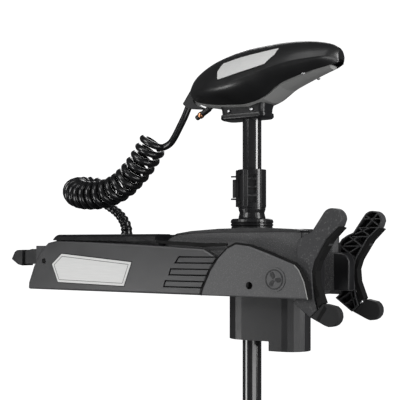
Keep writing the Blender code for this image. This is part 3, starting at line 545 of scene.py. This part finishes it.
def round_off(obj, width, segments, sharper_than):
    """Rounds an object's edges by a width in millimetres where its faces meet at more than an angle."""
    mod = obj.modifiers.new("rounded", "BEVEL")
    mod.width = width * MM
    mod.segments = segments
    mod.limit_method = "ANGLE"
    mod.angle_limit = math.radians(sharper_than)


def slab(name, points, low, high, slot, body, rounding=0.0, segments=3, plane="XZ"):
    """A flat outline in millimetres, thick from low to high across it, with its edges rounded."""
    bm = bmesh.new()
    rings = []
    for depth in (low, high):
        if plane == "XZ":
            rings.append([bm.verts.new(at(u, depth, v)) for u, v in points])
        else:
            rings.append([bm.verts.new(at(u, v, depth)) for u, v in points])
    join_rings(bm, rings)
    obj = piece(name, to_mesh(bm, name), slot, body)
    if rounding:
        round_off(obj, rounding, segments, 40)
    return obj


def arc(cx, cz, radius, start, end, steps):
    """Points of an arc, in degrees."""
    turns = [math.radians(start + (end - start) * i / steps) for i in range(steps + 1)]
    return [(cx + radius * math.cos(a), cz + radius * math.sin(a)) for a in turns]


def turned(name, profile, place, axis, slot, body, sides=32, replaces=()):
    """A turned piece: (radius, height) pairs in millimetres along an axis from a place."""
    turn = Vector(axis).to_track_quat("Z", "Y")
    origin = at(*place)
    bm = bmesh.new()
    rings = []
    for radius, height in profile:
        ring = []
        for k in range(sides):
            a = 2 * math.pi * k / sides
            local = Vector((radius * math.cos(a), radius * math.sin(a), height)) * MM
            ring.append(bm.verts.new(origin + turn @ local))
        rings.append(ring)
    join_rings(bm, rings, capped=False)
    bmesh.ops.remove_doubles(bm, verts=bm.verts, dist=SAME_PLACE)
    open_edges = [e for e in bm.edges if e.is_boundary]
    if open_edges:
        bmesh.ops.holes_fill(bm, edges=open_edges)
    return piece(name, to_mesh(bm, name), slot, body, replaces)


def screw(name, place, axis, radius, body):
    """A pan-head screw with a socket, its head standing on the surface at place."""
    profile = [
        (0, 0.35 * radius), (0.42 * radius, 0.35 * radius), (0.5 * radius, 0.62 * radius),
        (0.7 * radius, 0.62 * radius), (0.93 * radius, 0.42 * radius), (radius, 0.15 * radius),
        (radius, -0.6), (0, -0.6),
    ]
    return turned(name, profile, place, axis, "steel_parts", body, 20)


# ---------------------------------------------------------------- head

# x, crest height, shoulder height, half width, rim height, half width at the rim
HEAD_STATIONS = [
    (-103, 320, 311, 12, 304, 8),
    (-98, 332.5, 311, 24, 299, 14),
    (-80, 345.5, 310, 38, 292, 22),
    (-55, 356.5, 309, 49, 287, 27),
    (-25, 364.5, 309, 55.5, 284, 29),
    (5, 369.5, 314, 57.5, 283, 29),
    (35, 371.5, 321, 55, 290, 28.5),
    (62, 372, 329, 50, 306.5, 29),
    (90, 370.5, 336, 42, 316.5, 26),
    (115, 367, 339, 33, 323.5, 20.5),
    (136, 361, 341, 24, 328.5, 15),
    (147, 354, 342, 13, 332, 10),
]
CREASE = 0.55  # how sharply the upper side leans in from the shoulder
PATCH_LOW, PATCH_TALL = 11, 30  # the head plate's lower edge and height, in degrees round the section
PATCH_AFT, PATCH_FORE = -34, 50
PATCH_BOW, PATCH_RAKE = 5, 14  # how far its ends bow out, and its fore end leans forward at the top


def head_at(x):
    """The head's section values at any x: a smooth curve through its stations."""
    last = len(HEAD_STATIONS) - 2
    i = next((k for k in range(last + 1) if x <= HEAD_STATIONS[k + 1][0]), last)
    a, b, c, d = (HEAD_STATIONS[min(max(k, 0), last + 1)] for k in (i - 1, i, i + 1, i + 2))
    t = (x - b[0]) / (c[0] - b[0])
    values = []
    for pa, pb, pc, pd in list(zip(a, b, c, d))[1:]:
        slope_b = (pc - pa) / max(c[0] - a[0], 1) * (c[0] - b[0])
        slope_c = (pd - pb) / max(d[0] - b[0], 1) * (c[0] - b[0])
        h = t * t * (3 - 2 * t)
        values.append(pb * (1 - h) + pc * h + slope_b * t * (1 - t) ** 2 - slope_c * t * t * (1 - t))
    return (x, *values)


def upper_point(values, angle, lift=0.0, side=-1):
    """A point of the cover above its shoulder, lifted off the surface."""
    x, crest, shoulder, half, _, _ = values
    tall = crest - shoulder
    across = half * ((1 - CREASE) * math.cos(angle) + CREASE * (1 - 2 * angle / math.pi))
    dy = -half * ((1 - CREASE) * math.sin(angle) + CREASE * 2 / math.pi)
    dz = tall * math.cos(angle)
    size = math.hypot(dy, dz)
    y = side * (across + lift * dz / size)
    return Vector((x, y, shoulder + tall * math.sin(angle) - lift * dy / size))


def head_section(x, upper=16, lower=9):
    """One section of the cover, from the near rim over the crest to the far rim."""
    values = head_at(x)
    _, _, shoulder, half, rim, rim_half = values
    near = []
    for i in range(lower):
        t = i / lower
        y = -(rim_half + (half - rim_half) * math.sin(t * math.pi / 2))
        near.append(Vector((x, y, rim + (shoulder - rim) * t)))
    near += [upper_point(values, math.pi / 2 * i / upper) for i in range(upper + 1)]
    far = [Vector((p.x, -p.y, p.z)) for p in reversed(near[:-1])]
    return near + far


def make_head():
    """The head's cover with a lip turned in under its rim, its plates and its screws."""
    aft, fore, steps = HEAD_STATIONS[0][0], HEAD_STATIONS[-1][0], 62
    xs = [aft + (fore - aft) * i / steps for i in range(steps + 1)]
    sections = []
    for x in xs:
        ring = head_section(x)
        _, _, _, _, rim, rim_half = head_at(x)
        lip = rim_half - 2.2
        ring += [Vector((x, lip, rim + 0.2)), Vector((x, lip, rim + 5)), Vector((x, -lip, rim + 5)),
                 Vector((x, -lip, rim + 0.2))]
        sections.append(ring)
    nose_x, nose_z, narrower = 148.6, 342, 0.8
    nose = [Vector((nose_x, p.y * narrower, nose_z + (p.z - nose_z) * narrower)) for p in sections[-1]]
    sections.append(nose)
    bm = bmesh.new()
    join_rings(bm, [[bm.verts.new(at(*p)) for p in section] for section in sections])
    cover = to_mesh(bm, "head_cover_shell")
    piece("head_cover_shell", cover, "head_cover", "shaft", ["head_cover"], smooth=24)
    make_head_plate()
    for i, side in enumerate((-1, 1)):
        screw("head_screw_%d" % i, (100, side * 24, 318.5), (0, side * 0.5, -1), 2.6, "shaft")
    for i, x in enumerate((-30, 10)):
        for side, letter in ((-1, "n"), (1, "f")):
            screw("neck_screw_%d%s" % (i, letter), (x, side * 18.6, 276), (0, side, 0), 2.4, "shaft")


def plate_patch(name, grow, lift, slot):
    """A thin patch on each side of the cover; grow widens it all round, in millimetres."""
    columns, rows, thick = 25, 7, 0.9
    for side, suffix in ((-1, "near"), (1, "far")):
        bm = bmesh.new()
        layers = []
        for height in (lift, lift - thick):
            grid = []
            for j in range(rows):
                share = j / (rows - 1)
                from_middle = 2 * share - 1
                angle = math.radians(PATCH_LOW + PATCH_TALL * share + grow * 1.1 * from_middle)
                left = PATCH_AFT + PATCH_BOW * abs(from_middle) - grow
                right = PATCH_FORE + PATCH_RAKE * share + PATCH_BOW * (1 - abs(from_middle)) + grow
                line = []
                for i in range(columns):
                    x = left + (right - left) * i / (columns - 1)
                    line.append(bm.verts.new(at(*upper_point(head_at(x), angle, height, side))))
                grid.append(line)
            layers.append(grid)
        for grid in layers:
            for j in range(rows - 1):
                for i in range(columns - 1):
                    bm.faces.new((grid[j][i], grid[j][i + 1], grid[j + 1][i + 1], grid[j + 1][i]))
        top, under = layers
        rim = [(0, i) for i in range(columns)] + [(j, columns - 1) for j in range(1, rows)]
        rim += [(rows - 1, i) for i in range(columns - 2, -1, -1)] + [(j, 0) for j in range(rows - 2, 0, -1)]
        for (j, i), (next_j, next_i) in zip(rim, rim[1:] + rim[:1]):
            bm.faces.new((top[j][i], top[next_j][next_i], under[next_j][next_i], under[j][i]))
        name_side = name + "_" + suffix
        made = piece(name_side, to_mesh(bm, name_side), slot, "shaft")
        if side < 0 and slot == "head_plate":
            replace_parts(made, "head_plate")


def make_head_plate():
    plate_patch("head_plate_frame", 1.6, 0.35, "head_cover")
    plate_patch("head_plate_silver", 0.0, 0.75, "head_plate")


# ---------------------------------------------------------------- stow ramps

RAMP_LOW, RAMP_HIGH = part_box("ramp_near")
RAMP_INNER = -RAMP_HIGH.y / MM
RAMP_OUTER = -RAMP_LOW.y / MM
UPPER_LOBE = (170.0, 108.5)
LOBE_R = 15.0
RAMP_BACK = 117.0
RAMP_CHAMFER = 1.2
RAMP_SKIN, RAMP_WALL, RIB_THICK = 3.5, 1.7, 1.3
BOSS_TALL = 11
RAMP_NOTCH = [
    (148, -15.5), (143.5, 0), (141.5, 20), (140.5, 38), (144, 52), (152.5, 66), (162.5, 82), (182, 100),
]
# Ends of each rib of the open inner side, (x, z) pairs
RAMP_RIBS = [
    ((156, 112), (184, 112)), ((148, 99), (181, 99)), ((138, 86), (165, 86)), ((121, 72), (156, 72)),
    ((119, 54), (144, 54)), ((119, 32), (140, 32)), ((119, 10), (142, 10)), ((160, 100), (178, 119)),
    ((180, 102), (160, 117)), ((143, 90), (166, 99)), ((166, 87), (150, 98)), ((125, 74), (148, 86)),
    ((152, 73), (134, 86)), ((119, 54), (150, 72)), ((119, 72), (143, 54)), ((119, 32), (143, 53)),
    ((119, 54), (140, 33)), ((119, 10), (140, 32)), ((119, 32), (142, 10)), ((117, -8), (142, 9)),
    ((125, -15), (145, -2)), ((143, -20), (134, 8)),
]
RAMP_SCREWS = [(161, 76), (150, 60), (146, 6), (152, -10)]


def ramp_edge():
    back = [(140, 92), (130, 88), (121, 82), (RAMP_BACK, 76), (RAMP_BACK, 0), (111, -5.5), (137.5, -25)]
    return arc(*UPPER_LOBE, LOBE_R, 0, 150, 14) + back + RAMP_NOTCH


def inset(points, depth):
    """The outline drawn in all round. Its points run anticlockwise."""
    out = []
    count = len(points)
    for k in range(count):
        before, here, after = Vector(points[k - 1]), Vector(points[k]), Vector(points[(k + 1) % count])
        first, second = (here - before).normalized(), (after - here).normalized()
        normal = Vector((-first.y - second.y, first.x + second.x))
        reach = depth / max(0.35, normal.length / 2)
        out.append(tuple(here + normal.normalized() * reach))
    return out


def rib(bm, start, end, low, high, thick):
    """A thin upright wall between two (x, z) points, in millimetres."""
    a, b = Vector(start), Vector(end)
    along = (b - a).normalized()
    across = Vector((-along.y, along.x)) * thick / 2
    corners = [a + across, b + across, b - across, a - across]
    rings = [[bm.verts.new(at(c.x, y, c.y)) for c in corners] for y in (low, high)]
    join_rings(bm, rings)


def make_ramps():
    """Each ramp is a textured skin outside, and a rim wall with crossed ribs on its open inner side."""
    edge = ramp_edge()
    inner_edge = inset(edge, RAMP_WALL)
    for side, suffix in ((-1, "near"), (1, "far")):
        outside, inside, skin = side * RAMP_OUTER, side * RAMP_INNER, side * (RAMP_OUTER - RAMP_SKIN)
        layers = [
            (inset(edge, RAMP_CHAMFER), outside), (edge, outside - side * RAMP_CHAMFER),
            (edge, inside), (inner_edge, inside), (inner_edge, skin),
        ]
        bm = bmesh.new()
        join_rings(bm, [[bm.verts.new(at(u, y, v)) for u, v in points] for points, y in layers])
        span = sorted((skin, side * (RAMP_INNER + 0.6)))
        for start, end in RAMP_RIBS:
            rib(bm, start, end, *span, RIB_THICK)
        shell = to_mesh(bm, "ramp_shell")
        piece("ramp_shell_" + suffix, shell, "ramps", "base", ["ramp_" + suffix], smooth=30)
        inward = (0, -side, 0)
        boss = [(0, 0), (0, BOSS_TALL), (4.2, BOSS_TALL), (4.2, 0)]
        for i, (x, z) in enumerate(RAMP_SCREWS):
            turned("ramp_boss_%s_%d" % (suffix, i), boss, (x, skin, z), inward, "ramps", "base", 18)
            boss_top = skin - side * (BOSS_TALL + 0.2)
            screw("ramp_screw_%s_%d" % (suffix, i), (x, boss_top, z), inward, 3.1, "base")
        band = [(147.5, -27.5), (152, -29.5), (163.5, -11.5), (159.5, -7.5)]
        across = sorted((side * 62, side * (RAMP_OUTER + 0.5)))
        slab("ramp_band_" + suffix, band, *across, "ramp_pads", "base", 0.6)


# ---------------------------------------------------------------- mount details

SIDE_FACE = 85.0  # outer face of the side plates and bow covers
BADGE_X, BADGE_Z = 88, 26
BADGE_BLADE = [(1.5, -1.6), (6, -4.2), (10.4, -3.4), (11.2, 0.4), (9.0, 2.6), (4.5, 2.2), (1.5, 1.6)]


def make_badge():
    """A plain raised ring round a three-bladed propeller figure, on each bow cover."""
    low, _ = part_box("bow_cover_near")
    face = -low.y / MM
    for side, suffix in ((-1, "near"), (1, "far")):
        start = side * (face - 0.3)
        ring = [(14.2, 0), (14.2, 0.7), (12.4, 0.7), (12.4, 0)]
        centre = (BADGE_X, start, BADGE_Z)
        turned("badge_ring_" + suffix, ring + ring[:1], centre, (0, side, 0), "top_caps", "base", 40)
        bm = bmesh.new()
        for blade in range(3):
            turn = blade * 2 * math.pi / 3
            rings = []
            for y in (start, start + side * 0.7):
                points = []
                for u, v in BADGE_BLADE:
                    x = BADGE_X + u * math.cos(turn) - v * math.sin(turn)
                    z = BADGE_Z + u * math.sin(turn) + v * math.cos(turn)
                    points.append(bm.verts.new(at(x, y, z)))
                rings.append(points)
            join_rings(bm, rings)
        piece("badge_figure_" + suffix, to_mesh(bm, "badge_figure"), "top_caps", "base")


def make_base_details():
    make_badge()
    for side, suffix in ((-1, "near"), (1, "far")):
        outward = (0, side, 0)
        bolt = [(0, 1.2), (2.0, 1.2), (2.4, 2.2), (4.2, 2.2), (4.9, 1.6), (4.9, 0), (0, 0)]
        bolt_place = (46.7, side * (SIDE_FACE - 9), 16.5)
        turned("cover_bolt_" + suffix, bolt, bolt_place, outward, "ramp_pads", "base", 24)
        bush = [(0, 0), (0, 0.6), (2.6, 0.6), (3.0, 0), (3.9, 0), (3.9, -2), (0, -2)]
        bush_place = (-349.5, side * (SIDE_FACE - 0.4), 46.8)
        turned("lever_bush_" + suffix, bush, bush_place, outward, "ramp_pads", "base", 24)
    for i, x in enumerate((-345, -160)):
        for side, letter in ((-1, "n"), (1, "f")):
            screw("deck_bolt_%d%s" % (i, letter), (x, side * 46, 6.2), (0, 0, 1), 7.0, "base")


COVER_CREST = [(10, 69), (24, 75), (48, 72), (81, 61), (119, 47), (126, 40), (134, 24), (140, 0)]
CHEEK_IN, CHEEK_OUT = 37.6, 56.7
# Outline of the cheek noses, laid over the casting in near-black: painted shade.
CHEEK_NOSE_SHADE = [(117.2, 6.6), (142.4, 6.6), (142.4, 50.1), (138.3, 58.4), (130.1, 62.4), (117.2, 62.4)]
PLATE_EDGE = [(-310, 59), (-331, 42), (-318, 13), (-180, 10), (-165, 47)]
# Outline of a black strip in the groove under the casting, along the side plate's top: a painted shadow.
LEDGE_SHADE = [(-119, 76.4), (-33, 70.4), (8, 72.5), (8, 76.5), (-30, 76.5), (-119, 80.5)]
PLATE_SEAM = [(-36.4, 0), (-32.4, 12), (-19.9, 37), (-6.4, 55), (8, 68)]
# Lower edge, upper edge, and where each starts, of the three vents of a side plate
VENTS = [(46, 57, -84, -76), (28, 39, -95, -91), (10, 21, -105, -101)]


def ribbon(points, low, high):
    """A band along an open line of (x, z) points, from low to high across it, in millimetres."""
    edges = []
    for reach in (low, high):
        line = []
        for k, here in enumerate(points):
            before, after = points[max(k - 1, 0)], points[min(k + 1, len(points) - 1)]
            along = (Vector(after) - Vector(before)).normalized()
            line.append(tuple(Vector(here) + Vector((-along.y, along.x)) * reach))
        edges.append(line)
    return edges[0] + edges[1][::-1]


def x_on_seam(z):
    """Where the side plate's fore edge is, at a height."""
    for (x0, z0), (x1, z1) in zip(PLATE_SEAM, PLATE_SEAM[1:]):
        if z0 <= z <= z1:
            return x0 + (x1 - x0) * (z - z0) / (z1 - z0) - 1.0
    return PLATE_SEAM[-1][0]


def make_trim():
    """The mount's trim: black strips that paint the shadow in the gaps above the cover crests and in the
    groove under the casting, lighter strips that paint highlights on the crests' arrises, vents whose black
    floors paint the shade in their recesses, the plate seams, the name plates with their surrounds, and
    near-black cheek noses that paint the casting's shade.
    """
    for side, suffix in ((-1, "near"), (1, "far")):
        # Black strip along the top of each bow cover's crest: painted shadow in the recessed gap there.
        gap_shade = sorted((side * 78, side * 84.4))
        slab("crest_gap_" + suffix, ribbon(COVER_CREST, 0.1, 2.4), *gap_shade, "ramp_pads", "base")
        # Strip of the lighter under-head grey along the fore end of each crest: a painted highlight on the
        # arris.
        arris_highlight = sorted((side * (SIDE_FACE - 0.8), side * (SIDE_FACE + 0.2)))
        slab("crest_arris_" + suffix, ribbon(COVER_CREST[4:], -1.3, -0.2), *arris_highlight, "head_base", "base")
        seam = sorted((side * 79, side * (SIDE_FACE + 0.08)))
        slab("seam_" + suffix, ribbon(PLATE_SEAM, -0.8, 0.8), *seam, "ramp_pads", "base")
        for i, (z_low, z_high, x_low, x_high) in enumerate(VENTS):
            seam_low, seam_high = x_on_seam(z_low), x_on_seam(z_high)
            vent = [(x_low, z_low), (seam_low, z_low), (seam_high, z_high), (x_high, z_high)]
            # Black vent floors that show round each raised bar: painted shade in the vent recesses.
            floor = sorted((side * 82.3, side * 82.8))
            slab("vent_floor_shade_%s_%d" % (suffix, i), vent, *floor, "ramp_pads", "base")
            bar = sorted((side * 82.5, side * 84.7))
            slab("vent_bar_%s_%d" % (suffix, i), inset(vent, 1.9), *bar, "side_plates", "base", 0.6)
        # Black strip along the groove under the casting: a painted shadow.
        ledge_shade = sorted((side * 79, side * 83.4))
        slab("ledge_" + suffix, LEDGE_SHADE, *ledge_shade, "ramp_pads", "base", 0.8)
        # The cheek noses in near-black cap plastic: painted shade over the speckled casting.
        nose = sorted((side * CHEEK_IN, side * CHEEK_OUT))
        slab("cheek_nose_shade_" + suffix, CHEEK_NOSE_SHADE, *nose, "top_caps", "base", 2.0)
        outer = inset(PLATE_EDGE, -1.2)
        rim = sorted((side * SIDE_FACE, side * (SIDE_FACE + 0.25)))
        slab("plate_surround_" + suffix, outer, *rim, "ramp_pads", "base")
        face = sorted((side * (SIDE_FACE + 0.1), side * (SIDE_FACE + 0.6)))
        slab("plate_face_" + suffix, inset(PLATE_EDGE, 1.2), *face, "name_plates", "base", 0.3)
        line = sorted((side * (SIDE_FACE + 0.3), side * (SIDE_FACE + 0.75)))
        ring = inset(PLATE_EDGE, 4.0)
        for k, start in enumerate(ring):
            end = ring[(k + 1) % len(ring)]
            stroke = ribbon([start, end], -0.35, 0.35)
            slab("plate_line_%s_%d" % (suffix, k), stroke, *line, "top_caps", "base")


# ---------------------------------------------------------------- collar, neck and plug

COLLAR_TURN = math.radians(34.5)


def round_shaft(x, y):
    """A place square to the collar's own front, turned with it round the shaft."""
    return (
        x * math.cos(COLLAR_TURN) - y * math.sin(COLLAR_TURN),
        x * math.sin(COLLAR_TURN) + y * math.cos(COLLAR_TURN),
    )


def highlit_collar_box(name, x_span, y_span, z_span, rounding):
    corners = [round_shaft(x_span[u], y_span[v]) for u, v in ((0, 0), (1, 0), (1, 1), (0, 1))]
    # The side plates' lighter grey paints a highlight on each rail and bar.
    slab(name, corners, *z_span, "side_plates", "collar", rounding, 2, plane="XY")


def make_collar():
    """The rails and bars of the collar's window, in the side plates' lighter grey as painted highlights, and
    the two studs beside its lever.
    """
    tall = (131.5, 185.5)
    highlit_collar_box("collar_rail_window", (-8.6, -7.1), (-21.0, -17), tall, 0.4)
    highlit_collar_box("collar_rail_spine", (-14.4, -13.0), (-18.0, -14), tall, 0.4)
    for i, z in enumerate((173, 160.6, 147.6)):
        highlit_collar_box("collar_bar_%d" % i, (-7.5, 5.5), (-21.2, -18), (z - 0.9, z + 0.9), 0.35)
    stud = [(0, 1.2), (1.9, 1.2), (2.4, 0.6), (2.4, -5), (0, -5)]
    axis = (*round_shaft(0, -1), 0)
    for i, z in enumerate((138, 181)):
        place = (*round_shaft(-19.2, -12.5), z)
        turned("collar_stud_%d" % i, stud, place, axis, "collar", "collar", 20)


def rounded_rectangle(x_low, x_high, half, z, radius, steps=6):
    points = []
    for cx, cy, start in (
        (x_high - radius, half - radius, 0), (x_low + radius, half - radius, 90),
        (x_low + radius, radius - half, 180), (x_high - radius, radius - half, 270),
    ):
        points += [Vector((u, v, z)) for u, v in arc(cx, cy, radius, start, start + 90, steps)]
    return points


def make_neck():
    """The moulded neck under the head: it narrows downwards to a rounded foot lip."""
    low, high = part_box("head_neck")
    x_low, x_high = low.x / MM - SHAFT_X / MM, high.x / MM - SHAFT_X / MM
    half = high.y / MM
    z_low, z_high = low.z / MM, high.z / MM
    # Height, how far the outline is drawn in, and the radius of its corners
    levels = [
        (z_high, 0.0, 9), (z_low + 21, 0.0, 9), (z_low + 15, 1.4, 9), (z_low + 9, 1.8, 9),
        (z_low + 8, 0.3, 9), (z_low + 3, 0.0, 9), (z_low + 1.2, 0.9, 9), (z_low, 2.8, 8),
    ]
    bm = bmesh.new()
    rings = []
    for z, drawn, radius in levels:
        outline = rounded_rectangle(x_low + drawn, x_high - drawn, half - drawn, z, radius)
        rings.append([bm.verts.new(at(*p)) for p in outline])
    join_rings(bm, rings)
    piece("neck_moulding", to_mesh(bm, "neck_moulding"), "head_neck", "shaft", ["head_neck"], smooth=30)


def make_plug():
    """The small threaded plug beside the strain relief, its nut and tip, and the bracket that holds it."""
    start, axis = (-72.0, 0, 289.0), Vector((-31, 0, -17)).normalized()
    body = [(0, -4), (3.4, -4), (3.4, 6), (4.6, 6.5), (4.6, 20), (3.8, 20.6), (3.8, 22), (0, 22)]
    turned("plug_body", body, start, axis, "sensor_plug", "shaft", 24, ["sensor_plug"])
    nut = [(0, 21.6), (5.0, 21.6), (5.4, 22.2), (5.4, 27), (5.0, 27.6), (0, 27.6)]
    turned("plug_nut", nut, start, axis, "armature", "shaft", 12)
    tip = [(0, 27.4), (4.2, 27.4), (4.2, 33), (3.6, 34.2), (0, 34.2)]
    turned("plug_tip", tip, start, axis, "sensor_plug", "shaft", 24)
    bracket = [(-66, 285), (-54, 285), (-50, 296), (-66, 296)]
    slab("plug_bracket", bracket, -5, 5, "steel_parts", "shaft", 0.8)


def round_edges():
    """Softens the machined and moulded edges of the carried-over pieces so that they catch the light."""
    for name, width in (("steering_housing", 2.6), ("release_lever", 1.2), ("bezel_ring", 0.8)):
        round_off(NODES[name], width, 3, 50)


# ---------------------------------------------------------------- build

make_camera()
make_lights()
make_stage()
MATERIALS = make_materials()
dress(MATERIALS)
make_cord()
make_boot()
make_head()
make_ramps()
make_base_details()
make_trim()
make_collar()
make_neck()
make_plug()
round_edges()
